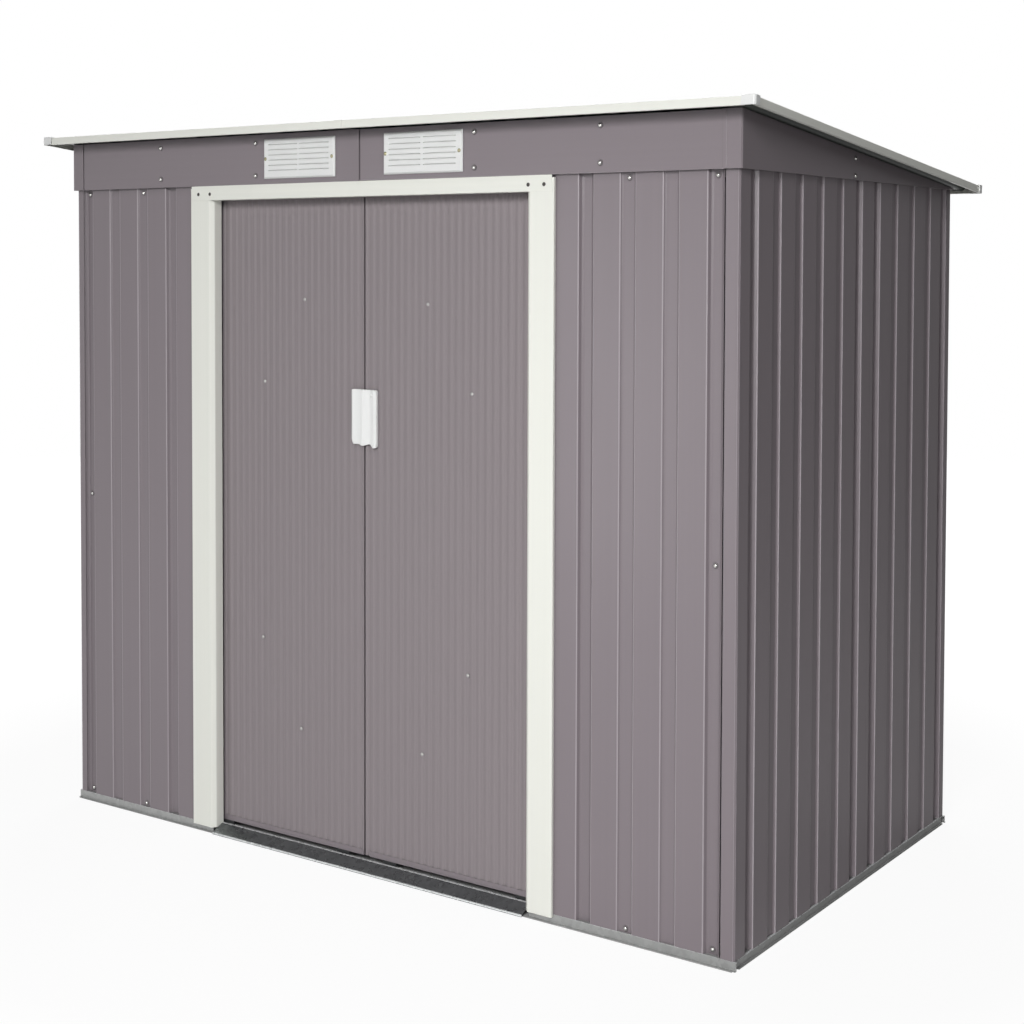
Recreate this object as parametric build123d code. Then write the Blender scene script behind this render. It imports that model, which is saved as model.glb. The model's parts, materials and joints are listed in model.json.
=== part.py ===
from build123d import *
import math
import os

# A pent-roof metal storage shed with two sliding doors, in millimetres.
# Pieces are laid out with the front wall's face at y = 0, +Y running into the shed, +X to the right
# and the ground at z = 0. The whole shed is then centred over the origin when it is written.

# Overall sizes
wall_width = 2000.0
wall_depth = 1166.0
wall_height = 1654.5
roof_front_overhang = 62.0
roof_rear_overhang = 50.0
roof_side_overhang = 63.5
fascia_rise = 121.5
roof_fall = 130.0

# Metal thicknesses and clearances
sheet_gauge = 0.6
trim_gauge = 0.8
rail_gauge = 1.2
seat_gap = 0.2
running_gap = 0.3
moving_clearance = 5.5

# Wall and roof sheet: flat pans with recessed grooves, deep next to each sheet's two edges
groove_pitch = 105.5
groove_mouth = 38.0
groove_floor = 19.0
groove_depth = 10.0
inner_groove_floor = 27.0
inner_groove_depth = 5.0
groove_roll_share = 0.5
groove_roll_rise_share = 0.25
right_edge_pan = 1.0
left_edge_pan = 20.0
rear_edge_pan = 36.0
seam_lap = 24.0
sheet_tuck = 1.5
side_sheet_count = 2
rear_sheet_count = 3
roof_sheet_count = 3

# Base rails
rail_height = 19.0
rail_foot = 5.5
rail_upstand = 27.0

# Corner posts
post_right_flange = 31.0
post_left_flange = 23.0
post_side_flange = 46.0
post_rear_flange = 27.0
post_bevel = 3.0
post_slot = 4.0
post_tongue = 36.0

# Doorway
doorway_width = 964.0
doorway_centre = -6.5
jamb_face = 75.0
jamb_proud = 8.0
jamb_lip = 12.0
jamb_bevel = 10.0
jamb_drop = 6.0
reveal_depth = 28.0
header_height = 36.0
header_end_inset = 4.5
jamb_top_gap = 6.0
panel_lap = 18.0
sill_reach = 15.0
sill_height = 21.0
sill_ledge = 5.0
sill_lip = 4.0

# Fascia band under the roof
fascia_proud = 9.0
fascia_wrap = 43.0
fascia_lap = 23.0
fascia_lap_lift = 2.0
gable_bevel = 3.0
wrap_hem = 7.0
wrap_hem_lift = 1.5
vent_width = 230.0
vent_height = 97.0
vent_depth = 6.0
vent_centre = 190.0
vent_bevel = 4.0
vent_margin = 17.0
vent_bar = 7.0
vent_slots = 6
vent_slot = 2.8
vent_slot_rise = 5.0
vent_slot_pitch = 12.6
vent_foot = 18.0
vent_backing_lap = 6.0

# Inner frame
top_rail_drop = 16.0
top_rail_flange = 28.0
rear_rail_drop = 45.0
mid_rail_height = 836.0
mid_rail_web = 40.0
mid_rail_leg = 25.0
mid_rail_front = 70.0
beam_web = 50.0
beam_flange = 25.0

# Roof edge
trim_height = 18.6
trim_lip = 25.0
trim_hem = 6.0
trim_joint_x = -24.0
trim_joint_lap = 12.0
cap_front = 30.0
cap_side = 18.0
cap_wall = 2.5
cap_round = 6.5
cap_edge_round = 1.8

# Sliding doors
door_overlap = 48.0
door_meeting_offset = -14.5
door_setback = 34.0
door_thickness = 18.0
door_hem = 13.0
flute_pitch = 20.7
flute_depth = 2.0
flute_crest_share = 0.35
flute_floor_share = 0.35
brace_width = 30.0
brace_thickness = 12.0
lip_lap = 6.0

# Pull handles, which meet where the doors meet
left_handle_width = 33.0
right_handle_width = 39.0
handle_height = 139.0
handle_centre_z = 1088.5
left_handle_edge = 8.0
right_handle_edge = 14.5
handle_dip_depth = 7.5
handle_dip_share = 0.36
handle_shoulder_depth = 8.5
handle_shoulder_share = 0.68
handle_bead_depth = 9.5
handle_bead_share = 0.84
handle_side_depth = 6.0
handle_round = 6.0
handle_step = 8.0
handle_step_shares = (0.35, 0.5, 0.75)
handle_left_rise = 4.0
handle_left_step = 3.0
handle_left_shares = (0.12, 0.25)
handle_corner_width = 7.5
handle_corner_height = 14.0

# Door track and runners
track_web = 40.0
track_lip = 4.0
roller_radius = 12.0
roller_width = 8.0
axle_radius = 3.0
hanger_width = 30.0
hanger_gauge = 2.5
hanger_inset = 70.0
guide_fin = 15.0
guide_cheek = 4.0
guide_length = 40.0
guide_lift = 4.0
guide_play = 0.4
guide_base = 38.0

# Worked-out sizes
wall_half = wall_width / 2
opening_half = doorway_width / 2
lap_setback = sheet_gauge + seat_gap
sheet_depth = groove_depth + sheet_gauge + lap_setback
sheet_end = post_bevel + seat_gap
roof_front_height = wall_height + fascia_rise
roof_run = roof_front_overhang + wall_depth + roof_rear_overhang
roof_length = math.hypot(roof_run, roof_fall)
roof_angle = math.degrees(math.atan2(roof_fall, roof_run))
roof_half = wall_half + roof_side_overhang
roof_sheet_top = trim_height - trim_gauge
roof_sheet_bottom = roof_sheet_top - sheet_depth
header_bottom = wall_height - header_height
inner_half = wall_half - sheet_depth - rail_gauge
door_width = opening_half + door_overlap
door_rear = door_setback + door_thickness
door_middle = door_setback + door_thickness / 2
door_bottom = sill_height + moving_clearance
top_rail_bottom = wall_height - top_rail_drop
track_top = top_rail_bottom + moving_clearance
door_top = track_top - rail_gauge - moving_clearance
lip_face = door_setback + flute_depth + sheet_gauge + moving_clearance

right_side = Pos(wall_half, 0, 0) * Rot(0, 0, 90)
rear_side = Pos(0, wall_depth, 0) * Rot(0, 0, 180)
roof_frame = Pos(0, -roof_front_overhang, roof_front_height) * Rot(-roof_angle, 0, 0)


def roof_underside(y):
    """Height of the roof sheet's groove bottoms at a distance behind the front wall's face."""
    slope = math.radians(roof_angle)
    fall = (y + roof_front_overhang) * math.tan(slope)
    return roof_front_height - fall + roof_sheet_bottom / math.cos(slope) - seat_gap


def bent_outline(path, gauge):
    """Closed outline of a sheet of one gauge that follows path and lies on its left side."""
    normals = []
    for (ax, ay), (bx, by) in zip(path, path[1:]):
        run = math.hypot(bx - ax, by - ay)
        normals.append(((ay - by) / run, (bx - ax) / run))
    inner = []
    for index, (px, py) in enumerate(path):
        nx, ny = normals[max(index - 1, 0)]
        mx, my = normals[min(index, len(normals) - 1)]
        reach = gauge / (1 + nx * mx + ny * my)
        inner.append((px + reach * (nx + mx), py + reach * (ny + my)))
    return list(path) + inner[::-1]


def outline_face(points):
    """Flat face inside a closed outline of (x, y) points."""
    return make_face(Polyline(*points, close=True))


def along_x(points, start, end):
    """Solid of a (y, z) outline from x = start to x = end."""
    return extrude(Plane.YZ.offset(start) * outline_face(points), amount=end - start)


def along_y(points, start, end):
    """Solid of an (x, z) outline from y = start to y = end."""
    return extrude(Plane.XZ.offset(-start) * outline_face(points), amount=start - end)


def along_z(points, start, end):
    """Solid of an (x, y) outline from z = start to z = end."""
    return extrude(Plane.XY.offset(start) * outline_face(points), amount=end - start)


def block(x0, x1, y0, y1, z0, z1):
    """Box between two corners."""
    return Pos(x0, y0, z0) * Box(x1 - x0, y1 - y0, z1 - z0, align=(Align.MIN, Align.MIN, Align.MIN))


def mirrored(solid):
    """The left-hand twin of a right-hand piece."""
    return mirror(solid, about=Plane.YZ)


def groove_path(start, end, centres):
    """Path of one sheet from start to end, as (along, depth) points, its outermost grooves deep."""
    points = [(start, 0)]
    for centre in centres:
        outermost = centre in (centres[0], centres[-1])
        depth = groove_depth if outermost else inner_groove_depth
        floor_half = (groove_floor if outermost else inner_groove_floor) / 2
        roll = floor_half + groove_roll_share * (groove_mouth / 2 - floor_half)
        half = [
            (floor_half, depth),
            (roll, depth * (1 - groove_roll_rise_share)),
            (groove_mouth / 2, 0),
        ]
        points += [(centre - along, sink) for along, sink in half[::-1]]
        points += [(centre + along, sink) for along, sink in half]
    return points + [(end, 0)]


def groove_run(first, step, count):
    """Centres of a row of grooves, in rising order."""
    return sorted(first + step * index for index in range(count))


def lapped_sheets(start, end, centres, count):
    """Share a row of grooves among sheets that lap on the pans: (start, end, grooves, setback) of each."""
    cuts = [round(len(centres) * index / count) for index in range(count + 1)]
    sheets = []
    for index, (low, high) in enumerate(zip(cuts, cuts[1:])):
        first = start if low == 0 else (centres[low - 1] + centres[low] - seam_lap) / 2
        last = end if high == len(centres) else (centres[high - 1] + centres[high] + seam_lap) / 2
        sheets.append((first, last, centres[low:high], lap_setback * (index % 2)))
    return sheets


def grooved_sheet(start, end, centres, setback=0):
    """Upright wall sheet along x with its outer pans at y = setback."""
    outline = bent_outline(groove_path(start, end, centres), sheet_gauge)
    return Pos(0, setback, 0) * along_z(outline, rail_height, wall_height + sheet_tuck)


pieces = {}


def build_base():
    """Galvanised rails under the walls, the doorway's ramp and the doors' floor guide."""
    path = [
        (sheet_depth, rail_height + rail_upstand),
        (sheet_depth, rail_height),
        (0, rail_height),
        (0, rail_gauge),
        (-rail_foot, rail_gauge),
    ]
    outline = bent_outline(path, rail_gauge)
    corner = wall_half + rail_foot
    over = rail_height + rail_upstand

    def rail(start, end, upstand_start, upstand_end):
        solid = along_x(outline, start, end)
        if upstand_start > start:
            solid -= block(start, upstand_start, 0, over, rail_height, over)
        if upstand_end < end:
            solid -= block(upstand_end, end, 0, over, rail_height, over)
        return solid

    upstand_corner = inner_half - seat_gap
    doorway_end = opening_half + jamb_bevel + seat_gap
    right_start = doorway_centre + doorway_end
    left_start = doorway_end - doorway_centre
    right_front = rail(right_start, corner, right_start, upstand_corner)
    left_front = mirrored(rail(left_start, corner, left_start, upstand_corner))
    pieces["front_base_rails"] = [left_front, right_front]
    pieces["rear_base_rail"] = rear_side * rail(-corner, corner, -upstand_corner, upstand_corner)
    side_start = sheet_depth + rail_gauge + seat_gap
    side_rail = right_side * rail(side_start, wall_depth - side_start, side_start, wall_depth - side_start)
    pieces["right_base_rail"] = side_rail
    pieces["left_base_rail"] = mirrored(side_rail)

    ramp = [
        (reveal_depth, 0),
        (reveal_depth, sill_height),
        (reveal_depth - sill_ledge, sill_height),
        (-sill_reach, sill_lip),
        (-sill_reach, 0),
    ]
    sill_half = opening_half - seat_gap
    sill = along_x(bent_outline(ramp, rail_gauge), doorway_centre - sill_half, doorway_centre + sill_half)
    pieces["door_sill"] = sill

    guide_front = reveal_depth + seat_gap
    guide_half = inner_half - moving_clearance
    guide = block(-guide_half, guide_half, guide_front, guide_front + guide_base, 0, rail_gauge)
    fin_front = door_middle - rail_gauge / 2
    guide += block(-guide_half, guide_half, fin_front, fin_front + rail_gauge, rail_gauge, guide_fin)
    pieces["lower_door_track"] = guide


def build_walls():
    """Grooved wall sheets standing on the base rails."""
    right_start = doorway_centre + opening_half + panel_lap
    left_start = doorway_centre - opening_half - panel_lap
    right_end = wall_half - post_right_flange - post_slot
    left_end = -wall_half + sheet_end
    front_count = int((wall_half - max(right_start, -left_start)) // groove_pitch)
    right_first = right_end - right_edge_pan - groove_mouth / 2
    left_first = -wall_half + left_edge_pan + groove_mouth / 2
    right = groove_run(right_first, -groove_pitch, front_count)
    left = groove_run(left_first, groove_pitch, front_count)
    pieces["front_right_panel"] = grooved_sheet(right_start, right_end, right)
    pieces["front_left_panel"] = grooved_sheet(left_end, left_start, left)

    side_first = post_side_flange + groove_mouth / 2
    side_count = 1 + int((wall_depth - side_first - groove_mouth / 2 - sheet_end) // groove_pitch)
    side = groove_run(side_first, groove_pitch, side_count)
    sheets = lapped_sheets(sheet_end, wall_depth - sheet_end, side, side_sheet_count)
    for name, sheet in zip(("front", "rear"), sheets):
        panel = right_side * grooved_sheet(*sheet)
        pieces[f"right_wall_{name}_panel"] = panel
        pieces[f"left_wall_{name}_panel"] = mirrored(panel)

    rear_half = wall_half - sheet_end
    rear_count = 1 + int((wall_width - 2 * rear_edge_pan - groove_mouth) // groove_pitch)
    rear = groove_run(-groove_pitch * (rear_count - 1) / 2, groove_pitch, rear_count)
    for index, sheet in enumerate(lapped_sheets(-rear_half, rear_half, rear, rear_sheet_count)):
        pieces[f"rear_wall_panel_{index + 1}"] = rear_side * grooved_sheet(*sheet)


def build_posts():
    """Folded angles over the four corners. The front right one steps back behind the sheet beside it."""

    def corner(flange, side_flange):
        return [
            (wall_half, side_flange),
            (wall_half, post_bevel),
            (wall_half - post_bevel, 0),
            (wall_half - flange, 0),
        ]

    def post(path, low, high):
        return along_z(bent_outline(path, trim_gauge), low, high)

    tongue_y = sheet_depth + seat_gap
    slot_edge = wall_half - post_right_flange
    step = [(slot_edge, tongue_y), (slot_edge - post_tongue, tongue_y)]
    right = corner(post_right_flange, post_side_flange)
    web_end = (slot_edge, sheet_depth - seat_gap)
    front_right = post(right + [web_end], rail_height, wall_height)
    tongue_low = rail_height + rail_upstand + seat_gap
    front_right += post(right[-1:] + step, tongue_low, top_rail_bottom - seat_gap)
    pieces["front_right_post"] = front_right
    left = corner(post_left_flange, post_side_flange)
    pieces["front_left_post"] = mirrored(post(left, rail_height, wall_height))
    rear = corner(post_right_flange, post_rear_flange)
    rear_post = rear_side * mirrored(post(rear, rail_height, wall_height))
    pieces["rear_right_post"] = rear_post
    pieces["rear_left_post"] = mirrored(rear_post)


def build_door_frame():
    """Pale folded jambs beside the doorway and the header across their tops."""
    outer = opening_half + jamb_face
    path = [
        (opening_half + jamb_lip, reveal_depth),
        (opening_half, reveal_depth),
        (opening_half, jamb_bevel - jamb_proud),
        (opening_half + jamb_bevel, -jamb_proud),
        (outer, -jamb_proud),
        (outer, 0),
    ]
    low = rail_height - jamb_drop
    jamb = along_z(bent_outline(path, trim_gauge), low, top_rail_bottom - seat_gap)
    jamb += along_z(bent_outline(path[-3:], trim_gauge), low, wall_height - jamb_top_gap)
    doorway = Pos(doorway_centre, 0, 0)
    pieces["right_door_jamb"] = doorway * jamb
    pieces["left_door_jamb"] = doorway * mirrored(jamb)

    header_half = outer - header_end_inset
    face = -jamb_proud - trim_gauge
    header = block(-header_half, header_half, face, -jamb_proud, header_bottom, wall_height)
    soffit_half = opening_half - seat_gap
    soffit_top = header_bottom + trim_gauge
    header += block(-soffit_half, soffit_half, -jamb_proud, reveal_depth, header_bottom, soffit_top)
    pieces["door_header"] = doorway * header


def build_vent(centre_x):
    """Moulded vent plate with sloping edges and two columns of rain slots, and the hole behind it."""
    rear = -fascia_proud
    front = rear - vent_depth
    middle_z = (wall_height + roof_underside(-fascia_proud)) / 2
    low = middle_z - vent_height / 2
    high = middle_z + vent_height / 2
    left = centre_x - vent_width / 2
    right = centre_x + vent_width / 2
    vent = block(left, right, front, rear, low, high)
    vent = chamfer(vent.faces().sort_by(Axis.Y)[0].edges(), vent_bevel)
    columns = [
        (left + vent_margin, centre_x - vent_bar / 2),
        (centre_x + vent_bar / 2, right - vent_margin),
    ]
    for index in range(vent_slots):
        foot = low + vent_foot + vent_slot_pitch * index
        crown = foot + vent_slot_rise
        slot = [(front, foot), (front, foot + vent_slot), (rear, crown + vent_slot), (rear, crown)]
        for start, end in columns:
            vent -= along_x(slot, start, end)
    hole_left = left + vent_backing_lap
    hole_right = right - vent_backing_lap
    hole_low = low + vent_backing_lap
    hole_high = high - vent_backing_lap
    return vent, block(hole_left, hole_right, rear - vent_depth, 0, hole_low, hole_high)


def build_fascia():
    """Fascia band on the front, tapered gables on the sides and the two vents."""
    left_vent, left_hole = build_vent(-vent_centre)
    right_vent, right_hole = build_vent(vent_centre)
    face = -fascia_proud
    path = [
        (sheet_depth, roof_underside(sheet_depth)),
        (face, roof_underside(face)),
        (face, wall_height),
        (0, wall_height),
    ]
    outline = bent_outline(path, trim_gauge)
    end = wall_half + fascia_proud - fascia_wrap - seat_gap
    joint = -fascia_lap
    right = along_x(outline, joint, end) - right_hole
    left = along_x(outline, -end, joint - seat_gap) - left_hole
    lap_foot = joint - seat_gap
    lap_front = face - trim_gauge
    lap = [
        (joint - fascia_lap, face),
        (lap_foot, face),
        (0, face - fascia_lap_lift),
        (0, lap_front - fascia_lap_lift),
        (lap_foot, lap_front),
    ]
    left += along_z(lap, wall_height, roof_underside(face))
    pieces["front_fascia_left"] = left
    pieces["front_fascia_right"] = right
    pieces["left_vent"] = left_vent
    pieces["right_vent"] = right_vent

    def strip(start, end):
        low = [(start, roof_underside(start) - trim_gauge), (end, roof_underside(end) - trim_gauge)]
        return low + [(end, roof_underside(end)), (start, roof_underside(start))]

    inner_face = face + trim_gauge
    rear_end = wall_depth
    hem_face = face - wrap_hem_lift
    wrap_end = face + fascia_wrap
    plate = [
        (hem_face, wall_height),
        (rear_end, wall_height),
        (rear_end, roof_underside(rear_end)),
        (hem_face, roof_underside(hem_face)),
    ]
    wrap = [
        (hem_face, wrap_end),
        (hem_face, wrap_end - wrap_hem),
        (face, wrap_end - wrap_hem - wrap_hem_lift),
        (face, face + gable_bevel),
        (face + gable_bevel, face),
        (rear_end, face),
    ]
    gable = along_z(bent_outline(wrap, trim_gauge), wall_height, roof_underside(face))
    gable &= along_y(plate, face, wrap_end)
    gable += block(0, rear_end, inner_face, 0, wall_height, wall_height + trim_gauge)
    seat_start = sheet_depth + rail_gauge
    gable += along_y(strip(seat_start, rear_end - seat_start), inner_face, sheet_depth)
    pieces["right_gable"] = right_side * gable
    pieces["left_gable"] = mirrored(right_side * gable)


def build_inner_frame():
    """Rails inside the walls, the doors' upper track and the roof beam."""
    inside = sheet_depth + rail_gauge
    rail_half = inner_half - seat_gap
    front = [
        (sheet_depth + top_rail_flange, roof_underside(sheet_depth + top_rail_flange)),
        (sheet_depth, roof_underside(sheet_depth)),
        (sheet_depth, top_rail_bottom),
    ]
    pieces["front_top_rail"] = along_x(bent_outline(front, rail_gauge), -rail_half, rail_half)

    rear_face = wall_depth - sheet_depth
    rear = [
        (rear_face, wall_height - rear_rail_drop),
        (rear_face, roof_underside(rear_face)),
        (rear_face - top_rail_flange, roof_underside(rear_face - top_rail_flange)),
    ]
    pieces["rear_top_rail"] = along_x(bent_outline(rear, rail_gauge), -rail_half, rail_half)

    start = inside + top_rail_flange + seat_gap
    end = wall_depth - start
    web = [
        (inside, top_rail_bottom),
        (wall_depth - inside, top_rail_bottom),
        (wall_depth - inside, roof_underside(wall_depth - inside)),
        (inside, roof_underside(inside)),
    ]
    flange = [
        (start, roof_underside(start) - rail_gauge),
        (end, roof_underside(end) - rail_gauge),
        (end, roof_underside(end)),
        (start, roof_underside(start)),
    ]
    side = along_y(web, sheet_depth, inside) + along_y(flange, inside, inside + top_rail_flange)
    pieces["side_top_rails"] = [mirrored(right_side * side), right_side * side]

    angle = [
        (sheet_depth, mid_rail_height - mid_rail_web / 2),
        (sheet_depth, mid_rail_height + mid_rail_web / 2),
        (sheet_depth + mid_rail_leg, mid_rail_height + mid_rail_web / 2),
    ]
    outline = bent_outline(angle[::-1], rail_gauge)
    side_rail = right_side * along_x(outline, mid_rail_front, wall_depth - inside)
    rear_half = inner_half - mid_rail_leg
    rear_rail = rear_side * along_x(outline, -rear_half, rear_half)
    pieces["mid_rails"] = [mirrored(side_rail), side_rail, rear_rail]

    track_end = door_rear - moving_clearance
    track = [
        (inside, track_top + track_web),
        (inside, track_top - rail_gauge),
        (track_end, track_top - rail_gauge),
        (track_end, track_top + track_lip),
    ]
    track_half = rail_half - seat_gap
    pieces["upper_door_track"] = along_x(bent_outline(track, rail_gauge), -track_half, track_half)

    beam_top = roof_sheet_bottom - seat_gap
    middle = roof_length / 2
    beam = [
        (middle + beam_flange, beam_top),
        (middle, beam_top),
        (middle, beam_top - beam_web),
        (middle + beam_flange, beam_top - beam_web),
    ]
    beam_half = inner_half - top_rail_flange - seat_gap
    pieces["roof_beam"] = roof_frame * along_x(bent_outline(beam, rail_gauge), -beam_half, beam_half)


def build_roof():
    """Grooved roof sheets from front to back, edge trims and corner caps, laid out flat and then tilted."""
    edge = roof_half - trim_gauge
    groove_count = 2 * int(edge // groove_pitch)
    centres = groove_run(-groove_pitch * (groove_count - 1) / 2, groove_pitch, groove_count)
    start = -edge + seat_gap
    for index, sheet in enumerate(lapped_sheets(start, -start, centres, roof_sheet_count)):
        first, last, grooves, setback = sheet
        path = groove_path(first, last, grooves)
        line = [(along, roof_sheet_top - setback - depth) for along, depth in path]
        panel = along_y(bent_outline(line[::-1], sheet_gauge), trim_gauge, roof_length - trim_gauge)
        pieces[f"roof_panel_{index + 1}"] = roof_frame * panel

    front = [(trim_hem, 0), (0, 0), (0, trim_height), (trim_lip, trim_height)]
    outline = bent_outline(front[::-1], trim_gauge)
    notch_start = roof_half - trim_lip - seat_gap
    notch = block(notch_start, roof_half, trim_gauge, trim_lip, 0, trim_height)
    left = along_x(outline, -roof_half, trim_joint_x - seat_gap) - mirrored(notch)
    right = along_x(outline, trim_joint_x, roof_half) - notch
    lap = [(0, 0), (0, trim_height), (trim_lip, trim_height)]
    lap_start = trim_joint_x - trim_joint_lap
    lap_end = trim_joint_x + trim_joint_lap
    left += along_x(bent_outline(lap, trim_gauge), lap_start, lap_end)
    pieces["front_roof_trim_left"] = roof_frame * left
    pieces["front_roof_trim_right"] = roof_frame * right
    turn = Pos(0, roof_length, 0) * Rot(0, 0, 180)
    rear = along_x(outline, -roof_half, roof_half) - notch - mirrored(notch)
    pieces["rear_roof_trim"] = roof_frame * turn * rear
    side_turn = Pos(roof_half, 0, 0) * Rot(0, 0, 90)
    side_start = trim_gauge + seat_gap
    side = side_turn * along_x(outline, side_start, roof_length - side_start)
    pieces["right_roof_trim"] = roof_frame * side
    pieces["left_roof_trim"] = mirrored(roof_frame * side)

    top = trim_height + cap_wall
    shell = block(-cap_front, cap_wall, -cap_wall, cap_side, 0, top)
    uprights = shell.edges().filter_by(Axis.Z)
    shell = fillet(uprights.sort_by(lambda edge: edge.center().X - edge.center().Y)[-1:], cap_round)
    shell = fillet(shell.faces().sort_by(Axis.Z)[-1].edges(), cap_edge_round)
    shell -= block(-cap_front, 0, 0, cap_side, 0, trim_height)
    corner = Pos(roof_half, 0, 0) * shell
    rear_corner = Pos(0, roof_length, 0) * mirror(corner, about=Plane.XZ)
    caps = [roof_frame * corner, roof_frame * rear_corner]
    pieces["roof_corner_caps"] = caps + [mirrored(cap) for cap in caps]


def build_handle(side):
    """A moulded pull: a waved section run upwards, cut to a rounded outline. Its door's edge is at x = 0."""
    low = handle_centre_z - handle_height / 2
    high = handle_centre_z + handle_height / 2
    if side == "right":
        end = right_handle_width
        edge = right_handle_edge
        rise_end, fall_start, fall_end = (end * share for share in handle_step_shares)
        bottom = [(0, low + handle_step / 2), (rise_end, low + handle_step)]
        bottom += [(fall_start, low + handle_step), (fall_end, low), (end, low)]
    else:
        end = left_handle_width
        edge = left_handle_edge
        inner_low = low + handle_left_rise
        outer_low = inner_low + handle_left_step
        step_start, step_end = (end * share for share in handle_left_shares)
        bottom = [(0, inner_low), (step_start, inner_low), (step_end, outer_low)]
        bottom += [(end - handle_corner_width, outer_low), (end, outer_low + handle_corner_height)]
    dip = (end * handle_dip_share, handle_dip_depth)
    shoulder = (end * handle_shoulder_share, handle_shoulder_depth)
    bead = (end * handle_bead_share, handle_bead_depth)
    brow = (end, handle_side_depth)
    wave = ThreePointArc((0, edge), dip, shoulder) + ThreePointArc(shoulder, bead, brow)
    section = make_face(Polyline((end, 0), (0, 0), (0, edge)) + wave + Line(brow, (end, 0)))
    front = Plane.XY.offset(low) * mirror(section, about=Plane.XZ)
    grip = Pos(0, door_setback, 0) * extrude(front, amount=high - low)
    mask = outline_face(bottom + [(end, high), (0, high)])
    corners = mask.vertices().filter_by(lambda corner: corner.X > bead[0])
    mask = fillet(corners, handle_round)
    return grip & extrude(Plane.XZ * mask, amount=door_setback, both=True)


def build_door(side, inner_edge):
    """One sliding leaf: fluted sheet, folded frame with two braces, pull handle and runners.

    It is laid out as the right leaf with its meeting edge at x = 0. The left one is mirrored, and its
    meeting edge steps back to a lip that runs behind the right leaf and closes the gap between them.
    """

    def place(solid):
        return Pos(inner_edge, 0, 0) * (solid if side == "right" else mirrored(solid))

    if side == "right":
        path = [(0, door_setback)]
        hem_start = lip_lap + moving_clearance
    else:
        path = [(-moving_clearance - lip_lap, lip_face), (0, lip_face), (0, door_setback)]
        hem_start = 0
    flute_start = path[-1][0] + sheet_gauge
    fluted = door_width - sheet_gauge - flute_start
    count = int(fluted // flute_pitch)
    span = fluted / count
    floor_half = span * flute_floor_share / 2
    mouth_half = span * (1 - flute_crest_share) / 2
    for index in range(count):
        middle = flute_start + span * (index + 1 / 2)
        path.append((middle - mouth_half, door_setback))
        path.append((middle - floor_half, door_setback + flute_depth))
        path.append((middle + floor_half, door_setback + flute_depth))
        path.append((middle + mouth_half, door_setback))
    path += [(door_width, door_setback), (door_width, door_rear - trim_gauge)]
    leaf = along_z(bent_outline(path, sheet_gauge), door_bottom + trim_gauge, door_top - trim_gauge)
    pieces[f"{side}_door"] = place(leaf)

    channel = [
        (door_setback - trim_gauge, door_hem),
        (door_setback - trim_gauge, 0),
        (door_rear, 0),
        (door_rear, door_hem),
    ]
    bottom = [(y, door_bottom + z) for y, z in channel]
    top = [(y, door_top - z) for y, z in channel]
    frame = along_x(bent_outline(bottom, trim_gauge), hem_start, door_width)
    frame += along_x(bent_outline(top[::-1], trim_gauge), hem_start, door_width)
    brace_front = door_setback + flute_depth + sheet_gauge + seat_gap
    middle_z = (door_bottom + door_top) / 2
    ends = [(0, door_bottom), (door_width, middle_z), (0, door_top)]
    inside = block(
        hem_start + sheet_gauge + seat_gap,
        door_width - sheet_gauge - seat_gap,
        brace_front,
        brace_front + brace_thickness,
        door_bottom + trim_gauge,
        door_top - trim_gauge,
    )
    for (ax, az), (bx, bz) in zip(ends, ends[1:]):
        length = math.hypot(bx - ax, bz - az)
        tilt = math.degrees(math.atan2(bz - az, bx - ax))
        bar = Box(length + brace_width, brace_thickness, brace_width)
        bar = Pos((ax + bx) / 2, brace_front + brace_thickness / 2, (az + bz) / 2) * Rot(0, -tilt, 0) * bar
        frame += bar & inside
    pieces[f"{side}_door_frame"] = place(frame)
    pieces[f"{side}_door_handle"] = place(build_handle(side))

    runners = []
    roller_z = track_top + running_gap + roller_radius
    track_middle = (sheet_depth + rail_gauge + door_rear - moving_clearance) / 2
    roller_front = track_middle - roller_width / 2
    upwards = (Align.CENTER, Align.CENTER, Align.MIN)
    for centre in (hanger_inset, door_width - hanger_inset):
        strap_low = door_top - door_hem
        strap_high = roller_z + roller_radius
        hanger = block(
            centre - hanger_width / 2,
            centre + hanger_width / 2,
            door_rear,
            door_rear + hanger_gauge,
            strap_low,
            strap_high,
        )
        axle = Pos(centre, roller_front, roller_z) * Rot(-90, 0, 0)
        hanger += axle * Cylinder(axle_radius, door_rear - roller_front, align=upwards)
        hanger += axle * Cylinder(roller_radius, roller_width, align=upwards)
        runners.append(place(hanger))
        fin_side = rail_gauge / 2 + guide_play
        for front in (door_middle - fin_side - guide_cheek, door_middle + fin_side):
            cheek = block(
                centre - guide_length / 2,
                centre + guide_length / 2,
                front,
                front + guide_cheek,
                rail_gauge + guide_lift,
                door_bottom,
            )
            runners.append(place(cheek))
    pieces[f"{side}_door_runners"] = runners


build_base()
build_walls()
build_posts()
build_door_frame()
build_fascia()
build_inner_frame()
build_roof()
door_meeting = doorway_centre + door_meeting_offset
build_door("left", door_meeting - moving_clearance / 2)
build_door("right", door_meeting + moving_clearance / 2)

# Centre the shed over the origin and write each piece
solids = []
for piece in pieces.values():
    solids += piece if isinstance(piece, list) else [piece]
box = Compound(solids).bounding_box()
centre = Pos(-box.center().X, -box.center().Y, 0)
print("front wall face at y", -box.center().Y)
os.makedirs("parts", exist_ok=True)
for name, piece in pieces.items():
    shape = Compound(piece) if isinstance(piece, list) else piece
    export_step(centre * shape, f"parts/{name}.step")
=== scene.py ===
"""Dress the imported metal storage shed: finishes, fasteners, moulded fittings, light and camera.

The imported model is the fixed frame. Lengths are metres unless a name ends in mm.
"""

import json
import logging
import math
from dataclasses import dataclass
from enum import Enum
from typing import Any

import bmesh
import bpy
from mathutils import Matrix, Vector

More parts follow.
